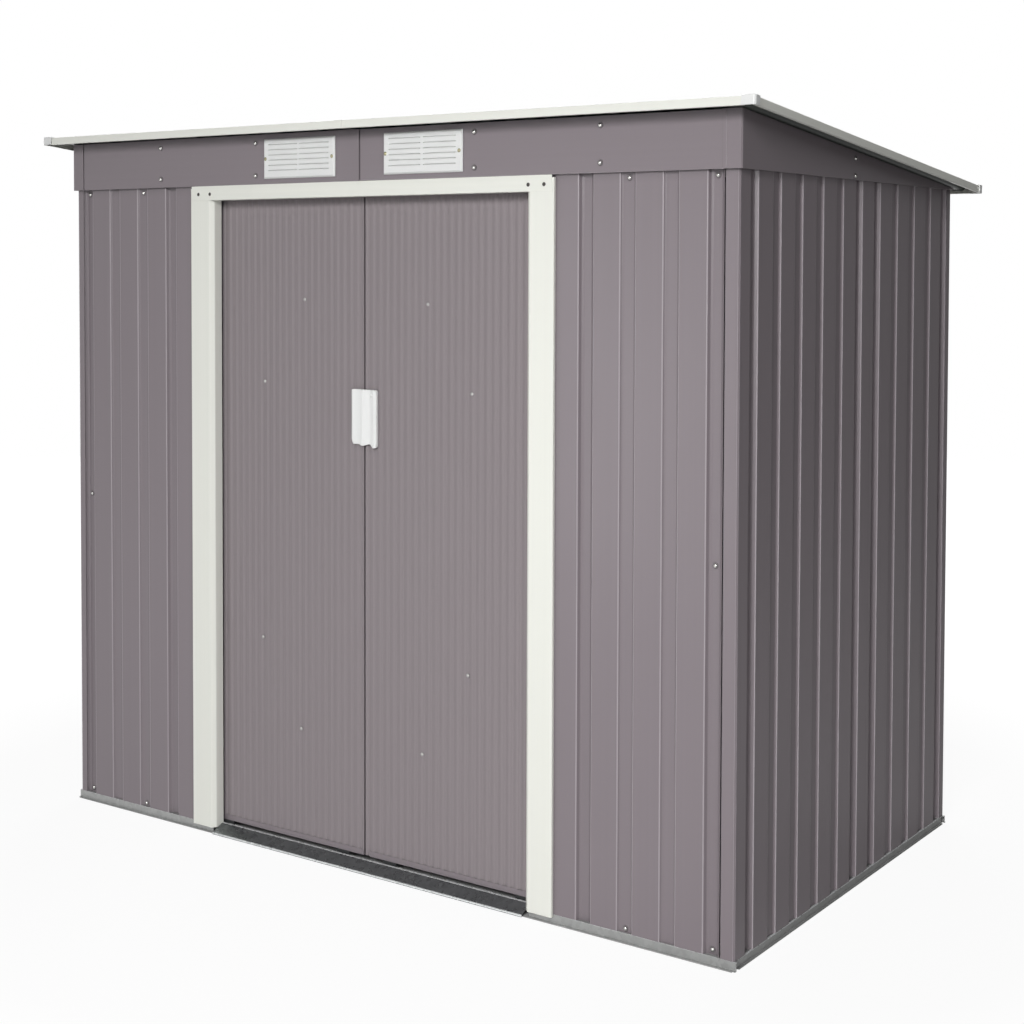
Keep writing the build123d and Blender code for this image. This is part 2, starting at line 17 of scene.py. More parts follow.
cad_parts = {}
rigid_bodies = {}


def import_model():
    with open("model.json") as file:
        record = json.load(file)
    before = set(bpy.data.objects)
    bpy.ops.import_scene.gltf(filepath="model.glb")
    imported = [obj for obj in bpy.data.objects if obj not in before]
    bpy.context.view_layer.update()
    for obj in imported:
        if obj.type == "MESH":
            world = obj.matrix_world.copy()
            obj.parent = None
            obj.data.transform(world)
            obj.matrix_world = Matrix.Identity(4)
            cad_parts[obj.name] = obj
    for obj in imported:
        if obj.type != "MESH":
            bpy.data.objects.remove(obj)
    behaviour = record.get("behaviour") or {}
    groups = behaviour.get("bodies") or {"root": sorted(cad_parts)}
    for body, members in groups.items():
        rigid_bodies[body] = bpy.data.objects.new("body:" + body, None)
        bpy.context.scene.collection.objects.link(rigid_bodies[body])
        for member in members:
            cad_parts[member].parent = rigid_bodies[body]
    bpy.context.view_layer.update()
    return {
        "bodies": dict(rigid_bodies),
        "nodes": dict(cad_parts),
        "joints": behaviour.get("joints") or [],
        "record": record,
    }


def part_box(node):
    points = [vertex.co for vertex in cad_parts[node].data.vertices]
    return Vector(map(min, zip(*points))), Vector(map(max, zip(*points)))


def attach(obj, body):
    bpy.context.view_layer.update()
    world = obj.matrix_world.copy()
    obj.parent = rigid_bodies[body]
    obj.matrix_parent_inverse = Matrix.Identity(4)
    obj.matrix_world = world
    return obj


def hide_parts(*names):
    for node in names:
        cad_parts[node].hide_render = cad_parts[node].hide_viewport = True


log = logging.getLogger("shed")

MM = 0.001

# The sRGB curve: straight below the knee, a power above it.
SRGB_KNEE = 0.04045
SRGB_SLOPE = 12.92
SRGB_OFFSET = 0.055
SRGB_POWER = 2.4


class Body(Enum):
    """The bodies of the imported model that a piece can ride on."""

    SHELL = "shell"
    LEFT_LEAF = "left_leaf"
    RIGHT_LEAF = "right_leaf"


class Slot(Enum):
    """The record's material slots."""

    WALL = "wall_steel"
    ROOF = "roof_steel"
    CREAM = "cream_steel"
    GALVANISED = "galvanised_steel"
    WHITE = "white_plastic"
    RUNNER = "runner_plastic"


class Roll(Enum):
    """Which way a sheet ran through the rolling mill, as the stretch of its faint lines on x, y and z."""

    UPRIGHT = (1.0, 1.0, 0.004)
    ALONG_X = (0.004, 1.0, 1.0)
    ALONG_Y = (1.0, 0.004, 1.0)


def linear(hex_colour: str) -> tuple[float, float, float, float]:
    """Turn an sRGB hex colour into linear light.

    Args:
        hex_colour: Six hex digits after a hash.

    Returns:
        Red, green, blue and an alpha of one.
    """
    parts = [int(hex_colour[i:i + 2], 16) / 255 for i in (1, 3, 5)]
    light = [c / SRGB_SLOPE if c <= SRGB_KNEE else ((c + SRGB_OFFSET) / (1 + SRGB_OFFSET)) ** SRGB_POWER
             for c in parts]
    return (light[0], light[1], light[2], 1.0)


def shaded(colour: tuple[float, float, float, float], share: float) -> tuple[float, float, float, float]:
    """Scale a linear colour's light and keep its alpha."""
    return (colour[0] * share, colour[1] * share, colour[2] * share, colour[3])


def add_node(tree: bpy.types.NodeTree, kind: str, settings: dict[Any, Any] | None = None,
             links: dict[Any, bpy.types.NodeSocket] | None = None) -> bpy.types.Node:
    """Add a node with its settings and links.

    Args:
        tree: The tree that gets the node.
        kind: Blender's type name of the node.
        settings: Properties by name, and input values by socket name or number.
        links: Output sockets of other nodes, by this node's socket name or number.

    Returns:
        The new node.
    """
    node = tree.nodes.new(kind)
    for key, value in (settings or {}).items():
        if isinstance(key, str) and hasattr(node, key):
            setattr(node, key, value)
        else:
            node.inputs[key].default_value = value
    for key, source in (links or {}).items():
        tree.links.new(source, node.inputs[key])
    return node


def new_material(name: str) -> tuple[bpy.types.Material, bpy.types.NodeTree, bpy.types.Node]:
    """Start a material with only its surface shader and output.

    Args:
        name: The material's name.

    Returns:
        The material, its tree and its Principled shader.
    """
    material = bpy.data.materials.new(name)
    material.use_nodes = True
    tree = material.node_tree
    tree.nodes.clear()
    shader = add_node(tree, "ShaderNodeBsdfPrincipled")
    add_node(tree, "ShaderNodeOutputMaterial", links={"Surface": shader.outputs["BSDF"]})
    return material, tree, shader


@dataclass(frozen=True)
class CoatedSteel:
    """Coil-coated steel sheet: a thin satin paint that shows faint rolling lines and the sheet's soft waves.

    Painted shade, from an occlusion node, darkens its grooves and laps a little. Real rolling lines are about
    a millimetre wide, and they are drawn coarser here, or they would not show.
    """

    name: str
    colour: str
    roll: Roll
    roughness: float = 0.31
    roughness_swing: float = 0.05
    specular: float = 0.5
    tint_share: float = 0.035
    line_mm: float = 12.0
    line_height_mm: float = 0.16
    wave_mm: float = 260.0
    wave_height_mm: float = 2.2
    shade_reach_mm: float = 24.0
    shade_rays: int = 6
    painted_shade_share: float = 0.5
    underside: str | None = None

    def material(self) -> bpy.types.Material:
        """Build the paint.

        Returns:
            The finished material.
        """
        material, tree, shader = new_material(self.name)
        shader.inputs["Specular IOR Level"].default_value = self.specular
        place = add_node(tree, "ShaderNodeTexCoord").outputs["Object"]
        stretched = add_node(tree, "ShaderNodeMapping", {"Scale": self.roll.value}, {"Vector": place})
        lines = add_node(tree, "ShaderNodeTexNoise", {
            "Scale": 1 / (self.line_mm * MM), "Detail": 3.0, "Roughness": 0.6,
        }, {"Vector": stretched.outputs["Vector"]})
        waves = add_node(tree, "ShaderNodeTexNoise", {
            "Scale": 1 / (self.wave_mm * MM), "Detail": 1.0,
        }, {"Vector": place})
        base = linear(self.colour)
        tint = add_node(tree, "ShaderNodeMix", {
            "data_type": "RGBA", 6: shaded(base, 1 - self.tint_share), 7: shaded(base, 1 + self.tint_share),
        }, {0: lines.outputs["Fac"]})
        colour = tint.outputs[2]
        # The underside, told by its true normal, takes a dark green back coat, made darker still as painted
        # shade.
        if self.underside:
            facing = add_node(tree, "ShaderNodeSeparateXYZ", links={
                0: add_node(tree, "ShaderNodeNewGeometry").outputs["True Normal"],
            })
            below = add_node(tree, "ShaderNodeMath", {"operation": "LESS_THAN", 1: 0.0},
                             {0: facing.outputs["Z"]})
            colour = add_node(tree, "ShaderNodeMix", {"data_type": "RGBA", 7: linear(self.underside)},
                              {0: below.outputs[0], 6: colour}).outputs[2]
        # Painted shade: an occlusion node darkens the colour in grooves, laps and corners, where shade falls.
        occlusion = add_node(tree, "ShaderNodeAmbientOcclusion", {
            "samples": self.shade_rays, "Distance": self.shade_reach_mm * MM,
        })
        unshaded = add_node(tree, "ShaderNodeMapRange", {"To Min": 1 - self.painted_shade_share, "To Max": 1.0},
                         {"Value": occlusion.outputs["AO"]})
        darkened = add_node(tree, "ShaderNodeVectorMath", {"operation": "SCALE"},
                         {0: colour, "Scale": unshaded.outputs["Result"]})
        tree.links.new(darkened.outputs["Vector"], shader.inputs["Base Color"])
        rough = add_node(tree, "ShaderNodeMapRange", {
            "To Min": self.roughness - self.roughness_swing, "To Max": self.roughness + self.roughness_swing,
        }, {"Value": waves.outputs["Fac"]})
        tree.links.new(rough.outputs["Result"], shader.inputs["Roughness"])
        ripple = add_node(tree, "ShaderNodeBump", {"Distance": self.line_height_mm * MM},
                          {"Height": lines.outputs["Fac"]})
        swell = add_node(tree, "ShaderNodeBump", {"Distance": self.wave_height_mm * MM},
                         {"Height": waves.outputs["Fac"], "Normal": ripple.outputs["Normal"]})
        tree.links.new(swell.outputs["Normal"], shader.inputs["Normal"])
        return material


@dataclass(frozen=True)
class TrimSteel(CoatedSteel):
    """Coil-coated steel in narrow folded strips: flatter than a wide sheet, and it gets little painted shade.
    """

    wave_height_mm: float = 0.6
    painted_shade_share: float = 0.12


@dataclass(frozen=True)
class FoldHighlightPaint(CoatedSteel):
    """Coil-coated steel on the outside of a fold, painted paler there as a painted highlight along the fold.
    """

    wave_height_mm: float = 0.6
    painted_shade_share: float = 0.15


@dataclass(frozen=True)
class Galvanised:
    """Hot-dip galvanised steel: dull grey zinc whose crystals show as pale and dark patches."""

    name: str
    dark: str
    pale: str
    spangle_mm: float = 9.0
    roughness: float = 0.42
    roughness_swing: float = 0.08
    metallic: float = 0.85

    def material(self) -> bpy.types.Material:
        """Build the zinc.

        Returns:
            The finished material.
        """
        material, tree, shader = new_material(self.name)
        shader.inputs["Metallic"].default_value = self.metallic
        place = add_node(tree, "ShaderNodeTexCoord").outputs["Object"]
        crystals = add_node(tree, "ShaderNodeTexVoronoi", {"Scale": 1 / (self.spangle_mm * MM)},
                            {"Vector": place})
        grey = add_node(tree, "ShaderNodeRGBToBW", links={0: crystals.outputs["Color"]})
        tint = add_node(tree, "ShaderNodeMix", {
            "data_type": "RGBA", 6: linear(self.dark), 7: linear(self.pale),
        }, {0: grey.outputs[0]})
        tree.links.new(tint.outputs[2], shader.inputs["Base Color"])
        rough = add_node(tree, "ShaderNodeMapRange", {
            "To Min": self.roughness - self.roughness_swing, "To Max": self.roughness + self.roughness_swing,
        }, {"Value": grey.outputs[0]})
        tree.links.new(rough.outputs["Result"], shader.inputs["Roughness"])
        return material


@dataclass(frozen=True)
class Moulded:
    """Injection-moulded plastic: an even colour with a fine spark-eroded grain and a soft shine.

    The real grain is about a tenth of a millimetre. It is drawn coarser here, or it would not show.
    """

    name: str
    colour: str
    roughness: float = 0.36
    roughness_swing: float = 0.04
    grain_mm: float = 1.6
    grain_height_mm: float = 0.02
    grain_shade: float = 0.98
    specular: float = 0.45

    def material(self) -> bpy.types.Material:
        """Build the plastic.

        Returns:
            The finished material.
        """
        material, tree, shader = new_material(self.name)
        shader.inputs["Specular IOR Level"].default_value = self.specular
        place = add_node(tree, "ShaderNodeTexCoord").outputs["Object"]
        grain = add_node(tree, "ShaderNodeTexNoise", {"Scale": 1 / (self.grain_mm * MM), "Detail": 2.0},
                         {"Vector": place})
        base = linear(self.colour)
        tint = add_node(tree, "ShaderNodeMix", {
            "data_type": "RGBA", 6: shaded(base, self.grain_shade), 7: base,
        }, {0: grain.outputs["Fac"]})
        tree.links.new(tint.outputs[2], shader.inputs["Base Color"])
        rough = add_node(tree, "ShaderNodeMapRange", {
            "To Min": self.roughness - self.roughness_swing, "To Max": self.roughness + self.roughness_swing,
        }, {"Value": grain.outputs["Fac"]})
        tree.links.new(rough.outputs["Result"], shader.inputs["Roughness"])
        bump = add_node(tree, "ShaderNodeBump", {"Distance": self.grain_height_mm * MM},
                        {"Height": grain.outputs["Fac"]})
        tree.links.new(bump.outputs["Normal"], shader.inputs["Normal"])
        return material


@dataclass(frozen=True)
class Plated:
    """Plated or bare fastener metal: bright, with the faint mottling that barrel plating leaves."""

    name: str
    colour: str
    roughness: float = 0.28
    roughness_swing: float = 0.06
    mottle_mm: float = 3.0
    mottle_shade: float = 0.85

    def material(self) -> bpy.types.Material:
        """Build the metal.

        Returns:
            The finished material.
        """
        material, tree, shader = new_material(self.name)
        shader.inputs["Metallic"].default_value = 1.0
        place = add_node(tree, "ShaderNodeTexCoord").outputs["Object"]
        mottle = add_node(tree, "ShaderNodeTexNoise", {"Scale": 1 / (self.mottle_mm * MM)}, {"Vector": place})
        base = linear(self.colour)
        tint = add_node(tree, "ShaderNodeMix", {
            "data_type": "RGBA", 6: shaded(base, self.mottle_shade), 7: base,
        }, {0: mottle.outputs["Fac"]})
        tree.links.new(tint.outputs[2], shader.inputs["Base Color"])
        rough = add_node(tree, "ShaderNodeMapRange", {
            "To Min": self.roughness - self.roughness_swing, "To Max": self.roughness + self.roughness_swing,
        }, {"Value": mottle.outputs["Fac"]})
        tree.links.new(rough.outputs["Result"], shader.inputs["Roughness"])
        return material


WALL_PAINT = "#857C81"
# The door paint is the wall paint made lighter: painted light, making up for the shine that the rougher,
# duller door coat lacks.
DOOR_PAINT = "#8F878A"
# Paler taupes for the outer folds: painted highlights where light catches a rolled fold.
FOLD_HIGHLIGHT_PAINT = "#A69EA3"
SIDE_AND_REAR_FOLD_HIGHLIGHT_PAINT = "#BCB4B9"
CREAM_PAINT = "#F2F3EB"


class Finishes:
    """Every finish of the shed, built once."""

    def __init__(self) -> None:
        """Build the materials."""
        # The front sheets get strong painted shade in their grooves, and the side and rear walls get little.
        self.wall = CoatedSteel("taupe_coated_steel_upright", WALL_PAINT, Roll.UPRIGHT,
                                painted_shade_share=0.65).material()
        self.side_and_rear_wall = CoatedSteel("taupe_coated_steel_side_and_rear_walls", WALL_PAINT, Roll.UPRIGHT,
                                  painted_shade_share=0.1).material()
        self.band_x = CoatedSteel("taupe_coated_steel_front_band", WALL_PAINT, Roll.ALONG_X).material()
        self.band_y = CoatedSteel("taupe_coated_steel_gable", WALL_PAINT, Roll.ALONG_Y).material()
        # The roof's underside is a dark green back coat, darkened as painted shade.
        self.roof = CoatedSteel("taupe_coated_steel_roof", WALL_PAINT, Roll.ALONG_Y,
                                underside="#1F2B25").material()
        self.door = CoatedSteel("taupe_coated_steel_door", DOOR_PAINT, Roll.UPRIGHT, roughness=0.52,
                                specular=0.3, wave_height_mm=1.2).material()
        # The outer folds take paler finishes as painted highlights.
        self.fold = FoldHighlightPaint("taupe_paint_painted_fold_highlight", FOLD_HIGHLIGHT_PAINT,
                                   Roll.UPRIGHT).material()
        self.side_and_rear_fold_highlight = FoldHighlightPaint("taupe_paint_painted_fold_highlight_side_and_rear", SIDE_AND_REAR_FOLD_HIGHLIGHT_PAINT,
                                          Roll.UPRIGHT).material()
        self.cream = TrimSteel("cream_coated_steel_upright", CREAM_PAINT, Roll.UPRIGHT).material()
        self.cream_x = TrimSteel("cream_coated_steel_across", CREAM_PAINT, Roll.ALONG_X).material()
        self.cream_y = TrimSteel("cream_coated_steel_slope", CREAM_PAINT, Roll.ALONG_Y).material()
        self.zinc = Galvanised("galvanised_steel", "#9A9B9A", "#ABACAB", metallic=0.5).material()
        # The sill's zinc is darker than the rails'.
        self.sill = Galvanised("dark_galvanised_sill", "#6C7071", "#7E8283", roughness=0.3).material()
        # Paler zinc on the outer folds as a painted highlight.
        self.zinc_fold_highlight = Galvanised("galvanised_steel_painted_fold_highlight", "#C9CCCC", "#DADDDD", roughness=0.3,
                                 metallic=0.4).material()
        self.white = Moulded("white_moulded_polypropylene", "#F1F2F1").material()
        # The runners' nylon is darkened as painted shade, so that the guides sink into the dark gap under the
        # doors.
        self.runner = Moulded("nylon_darkened_as_painted_shade", "#3A3B3C", roughness=0.45).material()
        self.screw = Plated("zinc_plated_screw", "#D6D6D2", roughness=0.24).material()
        self.passivated = Plated("yellow_passivated_screw", "#A8A488", roughness=0.32).material()
        self.dull_screw = Plated("phosphated_screw", "#4E4A48", roughness=0.4).material()
        self.rivet = Plated("aluminium_rivet", "#B8B6B5", roughness=0.35).material()
        self.washer = Moulded("grey_vinyl_washer", "#6C6769", roughness=0.45).material()

    def of_node(self, node: str, slot: str) -> bpy.types.Material:
        """Choose a CAD node's finish.

        Args:
            node: The node's name.
            slot: The record's material slot for it.

        Returns:
            The material.
        """
        if node == "door_sill":
            return self.sill
        if node in ("left_door", "right_door"):
            return self.door
        along_y = "gable" in node or node in ("right_roof_trim", "left_roof_trim")
        along_x = "fascia" in node or "header" in node or "roof_trim" in node
        if slot == Slot.WALL.value:
            upright = self.side_and_rear_wall if "_wall_" in node else self.wall
            return self.band_y if along_y else self.band_x if along_x else upright
        if slot == Slot.CREAM.value:
            return self.cream_y if along_y else self.cream_x if along_x else self.cream
        return {
            Slot.ROOF.value: self.roof,
            Slot.GALVANISED.value: self.zinc,
            Slot.WHITE.value: self.white,
            Slot.RUNNER.value: self.runner,
        }[slot]

    def on_fold(self, material: bpy.types.Material) -> bpy.types.Material:
        """Choose the finish of a sheet's outer folds.

        Args:
            material: The sheet's own finish.

        Returns:
            Paler taupe or paler zinc as a painted highlight along the fold, or the sheet's own.
        """
        folds = {
            self.wall: self.fold, self.band_x: self.fold, self.band_y: self.fold,
            self.side_and_rear_wall: self.side_and_rear_fold_highlight, self.zinc: self.zinc_fold_highlight, self.sill: self.zinc_fold_highlight,
        }
        return folds.get(material, material)

    def dress_nodes(self, frame: dict[str, Any]) -> None:
        """Put a finish on every CAD node.
        """
        slots = {part["node"]: part["material_slot"] for part in frame["record"]["subparts"]}
        for name, piece in frame["nodes"].items():
            material = self.of_node(name, slots[name])
            if not piece.material_slots:
                piece.data.materials.append(material)
            for holder in piece.material_slots:
                holder.material = material
            log.info("dressed %s with %s", name, material.name)


def keep_mesh(name: str, mesh: bpy.types.Mesh, body: Body) -> bpy.types.Object:
    """Make a finished mesh a piece of the shed.

    Args:
        name: The piece's name.
        mesh: Its mesh, shaded and in the shared frame.
        body: The body it rides on.

    Returns:
        The new object.
    """
    mesh.name = name
    piece = bpy.data.objects.new(name, mesh)
    bpy.context.scene.collection.objects.link(piece)
    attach(piece, body.value)
    log.info("built %s on %s, %d faces", name, body.value, len(mesh.polygons))
    return piece


def edge_width(face: bmesh.types.BMFace) -> float:
    """Twice a face's area over its outline, which for a long strip is its width."""
    return 2 * face.calc_area() / face.calc_perimeter()


@dataclass
class RoundedTwin:
    """A copy of a CAD node with rounded edges, which stands in for it."""

    node: str
    radius: float
    segments: int = 3
    least_angle: float = math.radians(8)
    merge: float = 0.005 * MM
    flat_angle: float = math.radians(1)
    crisp_angle: float = math.radians(35)
    round_profile: float = 0.5
    flat_weight: int = 100

    def is_rounded(self, edge: bmesh.types.BMEdge) -> bool:
        """Tell an edge that gets a radius from one that stays."""
        return edge.is_manifold and edge.calc_face_angle() > self.least_angle

    def build(self, frame: dict[str, Any], finishes: "Finishes") -> bpy.types.Object:
        """Copy the node, round its edges and stand the copy in for it.

        Args:
            finishes: The shed's finishes.

        Returns:
            The finished piece.
        """
        record = frame["record"]
        slot = next(part["material_slot"] for part in record["subparts"] if part["node"] == self.node)
        body = next(body for body in Body if self.node in record["behaviour"]["bodies"][body.value])
        shape = bmesh.new()
        shape.from_mesh(frame["nodes"][self.node].data)
        bmesh.ops.remove_doubles(shape, verts=shape.verts, dist=self.merge)
        bmesh.ops.dissolve_limit(shape, angle_limit=self.flat_angle, verts=shape.verts, edges=shape.edges)
        paint = finishes.of_node(self.node, slot)
        paints = [paint, self.fold_finish(finishes, paint)]
        self.round_edges(shape)
        bmesh.ops.triangulate(shape, faces=[face for face in shape.faces if len(face.verts) > 4])
        mesh = bpy.data.meshes.new(f"{self.node}_rough")
        shape.to_mesh(mesh)
        shape.free()
        for material in paints:
            mesh.materials.append(material)
        piece = keep_mesh(f"{self.node}_rounded", self.with_flat_normals(mesh), body)
        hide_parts(self.node)
        return piece

    def fold_finish(self, finishes: "Finishes", paint: bpy.types.Material) -> bpy.types.Material:
        """The finish of the outer rounded edges, which is the piece's own."""
        return paint

    def round_edges(self, shape: bmesh.types.BMesh) -> None:
        """Round all the chosen edges in one go.

        Args:
            shape: The piece's copy, which is changed.
        """
        rounded = [edge for edge in shape.edges if self.is_rounded(edge)]
        self.round_some(shape, rounded, self.radius, 0)

    def round_some(self, shape: bmesh.types.BMesh, edges: list[bmesh.types.BMEdge], radius: float,
                   paint: int) -> None:
        """Round these edges and give the new faces the paint of that number."""
        bmesh.ops.bevel(shape, geom=edges, offset=radius, segments=self.segments,
                        profile=self.round_profile, affect="EDGES", clamp_overlap=True, material=paint)

    def with_flat_normals(self, mesh: bpy.types.Mesh) -> bpy.types.Mesh:
        """Weigh the normals by area, so that flat faces stay flat beside their rounded edges.

        Args:
            mesh: The mesh to shade, which is used up.

        Returns:
            A plain mesh with its own normals.
        """
        mesh.shade_smooth()
        mesh.set_sharp_from_angle(angle=self.crisp_angle)
        holder = bpy.data.objects.new(mesh.name, mesh)
        bpy.context.scene.collection.objects.link(holder)
        modifier = holder.modifiers.new("flat_faces", "WEIGHTED_NORMAL")
        modifier.mode = "FACE_AREA"
        modifier.weight = self.flat_weight
        modifier.keep_sharp = True
        graph = bpy.context.evaluated_depsgraph_get()
        weighed = bpy.data.meshes.new_from_object(holder.evaluated_get(graph), depsgraph=graph)
        holder.modifiers.remove(modifier)
        bpy.data.objects.remove(holder)
        bpy.data.meshes.remove(mesh)
        return weighed


@dataclass
class MouldedFitting(RoundedTwin):
    """A plastic fitting with the soft edges that a mould gives."""

    radius: float = 0.7 * MM
    segments: int = 2
    least_angle: float = math.radians(40)


@dataclass
class FoldedSheet(RoundedTwin):
    """A folded sheet with the radius that the rollers leave at each fold. Its cut edges stay sharp.

    An inner fold is tighter than an outer one.
    """

    radius: float = 2.5 * MM
    inner_radius_share: float = 0.5
    least_width: float = 1.6 * MM
    pale_folds: bool = True

    def is_rounded(self, edge: bmesh.types.BMEdge) -> bool:
        """A fold lies between two faces that are both wider than the sheet's cut edge."""
        wide = all(edge_width(face) > self.least_width for face in edge.link_faces)
        return wide and super().is_rounded(edge)

    def fold_finish(self, finishes: "Finishes", paint: bpy.types.Material) -> bpy.types.Material:
        """An outer fold is paler than the sheet: a painted highlight along the fold."""
        return finishes.on_fold(paint) if self.pale_folds else paint

    def round_edges(self, shape: bmesh.types.BMesh) -> None:
        """Round the outer folds, then the inner ones.

        Args:
            shape: The piece's copy, which is changed.
        """
        rounded = [edge for edge in shape.edges if self.is_rounded(edge)]
        outer = [edge for edge in rounded if edge.is_convex]
        inner = [edge for edge in rounded if not edge.is_convex]
        self.round_some(shape, outer, self.radius, 1)
        kept = [edge for edge in inner if edge.is_valid]
        self.round_some(shape, kept, self.radius * self.inner_radius_share, 0)


@dataclass
class FlutedSheet(FoldedSheet):
    """A door's fluted sheet, whose small folds are tight and keep the sheet's own colour."""

    radius: float = 1.4 * MM
    pale_folds: bool = False


@dataclass
class FastenerTree:
    """A Geometry Nodes tree that sets a domed fastener on a washer at every point, facing outwards.

    A share is of the head's radius, or for the washer's rim of the washer's.
    """

    name: str
    crossed: bool
    head_segments: int = 20
    head_rings: int = 12
    pit_segments: int = 12
    washer_segments: int = 24
    block_share: float = 4.0
    rim_share: float = 0.86
    seed: int = 7

    def build(self) -> bpy.types.GeometryNodeTree:
        """Build the tree.

        Returns:
            The tree, with inputs named for the fastener's sizes and finishes.
        """
        tree = bpy.data.node_groups.new(self.name, "GeometryNodeTree")
        tree.interface.new_socket("Geometry", in_out="INPUT", socket_type="NodeSocketGeometry")
        for size in ("Head Radius", "Head Height", "Washer Radius", "Washer Thickness", "Recess Width"):
            tree.interface.new_socket(size, in_out="INPUT", socket_type="NodeSocketFloat")
        for finish in ("Head Finish", "Washer Finish"):
            tree.interface.new_socket(finish, in_out="INPUT", socket_type="NodeSocketMaterial")
        tree.interface.new_socket("Geometry", in_out="OUTPUT", socket_type="NodeSocketGeometry")
        given = add_node(tree, "NodeGroupInput").outputs
        whole = add_node(tree, "GeometryNodeJoinGeometry", links={"Geometry": self.head(tree, given)})
        tree.links.new(self.washer(tree, given), whole.inputs["Geometry"])
        facing = add_node(tree, "GeometryNodeInputNamedAttribute",
                          {"data_type": "FLOAT_VECTOR", "Name": "facing"})
        turn = add_node(tree, "FunctionNodeAlignRotationToVector", {"axis": "Z"},
                        {"Vector": facing.outputs["Attribute"]})
        spin = add_node(tree, "FunctionNodeRandomValue",
                        {"data_type": "FLOAT", 2: 0.0, 3: math.pi, "Seed": self.seed})
        about = add_node(tree, "ShaderNodeCombineXYZ", links={2: spin.outputs[1]})
        roll = add_node(tree, "FunctionNodeEulerToRotation", links={0: about.outputs[0]})
        both = add_node(tree, "FunctionNodeRotateRotation", {"rotation_space": "LOCAL"},
                        {0: turn.outputs[0], 1: roll.outputs[0]})
        placed = add_node(tree, "GeometryNodeInstanceOnPoints", links={
            "Points": given["Geometry"], "Instance": whole.outputs["Geometry"],
            "Rotation": both.outputs[0]})
        real = add_node(tree, "GeometryNodeRealizeInstances",
                        links={"Geometry": placed.outputs["Instances"]})
        metal = add_node(tree, "GeometryNodeSetMaterial", links={
            "Geometry": real.outputs["Geometry"], "Material": given["Head Finish"]})
        washers = add_node(tree, "GeometryNodeInputNamedAttribute",
                           {"data_type": "BOOLEAN", "Name": "washer"})
        done = add_node(tree, "GeometryNodeSetMaterial", links={
            "Geometry": metal.outputs["Geometry"], "Selection": washers.outputs["Attribute"],
            "Material": given["Washer Finish"]})
        add_node(tree, "NodeGroupOutput", links={0: done.outputs["Geometry"]})
        return tree

    def head(self, tree: bpy.types.GeometryNodeTree,
             given: bpy.types.bpy_prop_collection) -> bpy.types.NodeSocket:
        """Make the domed head with its recess, seated on the washer.

        Args:
            tree: The tree to work in.
            given: The outputs of the tree's input node.

        Returns:
            The head's geometry.
        """
        squash = add_node(tree, "ShaderNodeMath", {"operation": "DIVIDE"},
                          {0: given["Head Height"], 1: given["Head Radius"]})
        flat = add_node(tree, "ShaderNodeCombineXYZ", {0: 1.0, 1: 1.0}, {2: squash.outputs[0]})
        ball = add_node(tree, "GeometryNodeMeshUVSphere", {
            "Segments": self.head_segments, "Rings": self.head_rings,
        }, {"Radius": given["Head Radius"]})
        dome = add_node(tree, "GeometryNodeTransform",
                        links={"Geometry": ball.outputs["Mesh"], "Scale": flat.outputs[0]})
        wide = add_node(tree, "ShaderNodeMath", {"operation": "MULTIPLY", 1: self.block_share},
                        {0: given["Head Radius"]})
        sides = add_node(tree, "ShaderNodeCombineXYZ", links={
            0: wide.outputs[0], 1: wide.outputs[0], 2: wide.outputs[0]})
        block = add_node(tree, "GeometryNodeMeshCube", links={"Size": sides.outputs[0]})
        half = add_node(tree, "ShaderNodeMath", {"operation": "MULTIPLY", 1: -0.5}, {0: wide.outputs[0]})
        sunk = add_node(tree, "ShaderNodeCombineXYZ", links={2: half.outputs[0]})
        below = add_node(tree, "GeometryNodeTransform", links={
            "Geometry": block.outputs["Mesh"], "Translation": sunk.outputs[0]})
        cutters = [below.outputs["Geometry"]]
        top = add_node(tree, "ShaderNodeCombineXYZ", links={2: given["Head Height"]})
        if self.crossed:
            for long_axis, short_axis in ((0, 1), (1, 0)):
                arm = add_node(tree, "ShaderNodeCombineXYZ", links={
                    long_axis: given["Head Radius"], short_axis: given["Recess Width"],
                    2: given["Head Height"]})
                bar = add_node(tree, "GeometryNodeMeshCube", links={"Size": arm.outputs[0]})
                cutters.append(add_node(tree, "GeometryNodeTransform", links={
                    "Geometry": bar.outputs["Mesh"], "Translation": top.outputs[0]}).outputs["Geometry"])
        else:
            pit = add_node(tree, "GeometryNodeMeshCylinder", {"Vertices": self.pit_segments},
                           {"Radius": given["Recess Width"], "Depth": given["Head Height"]})
            cutters.append(add_node(tree, "GeometryNodeTransform", links={
                "Geometry": pit.outputs["Mesh"], "Translation": top.outputs[0]}).outputs["Geometry"])
        head = add_node(tree, "GeometryNodeMeshBoolean", {"operation": "DIFFERENCE", "solver": "EXACT"},
                        {"Mesh 1": dome.outputs["Geometry"]})
        for cutter in cutters:
            tree.links.new(cutter, head.inputs["Mesh 2"])
        lift = add_node(tree, "ShaderNodeCombineXYZ", links={2: given["Washer Thickness"]})
        seated = add_node(tree, "GeometryNodeTransform", links={
            "Geometry": head.outputs["Mesh"], "Translation": lift.outputs[0]})
        return seated.outputs["Geometry"]

